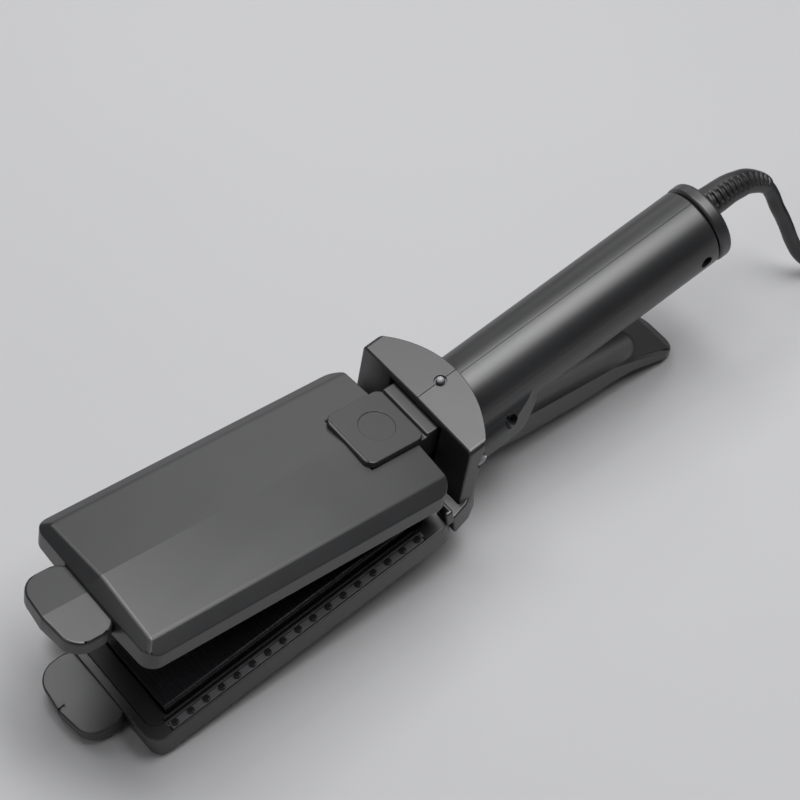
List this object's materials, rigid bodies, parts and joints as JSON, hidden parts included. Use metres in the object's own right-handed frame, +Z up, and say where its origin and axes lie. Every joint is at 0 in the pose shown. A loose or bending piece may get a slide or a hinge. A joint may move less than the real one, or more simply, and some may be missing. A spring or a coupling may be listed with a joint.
{
  "type": "hair straightener",
  "caption": "Wide-plate hair straightener resting half open, with a round handle, squeeze lever, finger tabs and mains cord coiled behind",
  "frame": {"origin": "centre of the footprint of the body without its cord, on the surface it rests on", "axes": "+X from the jaw tips towards the handle's tail, +Z up from the surface, jaws opening upwards at -X"},
  "size_m": [0.5588, 0.0875, 0.0768],
  "materials": {
    "shell_black": "satin",
    "carrier_black": "matte",
    "strip_grey": "satin",
    "plate_coat": "satin ceramic coat",
    "heater_ceramic": "white ceramic",
    "bright_steel": "polished",
    "spring_steel": "plain",
    "screw_steel": "zinc plated",
    "fuse_brass": "plain",
    "lamp_lens": "smoke grey lens",
    "board_green": "circuit board",
    "foot_rubber": "matte",
    "cord_rubber": "satin",
    "tie_black": "matte",
    "plug_black": "satin"
  },
  "bodies": {
    "handle": {"handle_shell_near": "shell_black", "handle_shell_far": "shell_black", "tail_cap": "shell_black", "strain_relief": "cord_rubber", "hinge_pin": "bright_steel", "hinge_nut": "bright_steel", "return_spring": "spring_steel", "handle_screws": "screw_steel", "jaw_screws": "screw_steel", "indicator_lamp": "lamp_lens", "control_board": "board_green", "lower_jaw_base": "shell_black", "lower_plate_carrier": "carrier_black", "lower_plate": "plate_coat", "lower_heater": "heater_ceramic", "lower_heater_clamp": "spring_steel", "lower_tray_screws": "screw_steel", "thermal_fuse": "fuse_brass", "comb_strip_near": "strip_grey", "comb_strip_far": "strip_grey", "rest_feet": "foot_rubber", "cord_lead": "cord_rubber", "cord_coil": "cord_rubber", "cord_tail": "cord_rubber", "cord_tie": "tie_black", "plug_body": "plug_black", "plug_pins": "fuse_brass"},
    "lever": {"squeeze_lever": "shell_black", "tongue_plate": "shell_black", "tongue_screws": "screw_steel", "upper_jaw_cover": "shell_black", "upper_plate_carrier": "carrier_black", "upper_plate": "plate_coat", "upper_heater": "heater_ceramic", "upper_heater_clamp": "spring_steel", "upper_tray_screws": "screw_steel"}
  },
  "joints": [
    {"name": "jaw_hinge", "type": "hinge", "parent": "handle", "child": "lever", "pos_m": [-0.00148, 0, 0.04998], "axis": [0, -1, 0], "range_deg": [0, 15.4], "stiffness_Nm_per_rad": 1.5, "springref_deg": -22.92, "deforming": ["return_spring"]}
  ]
}
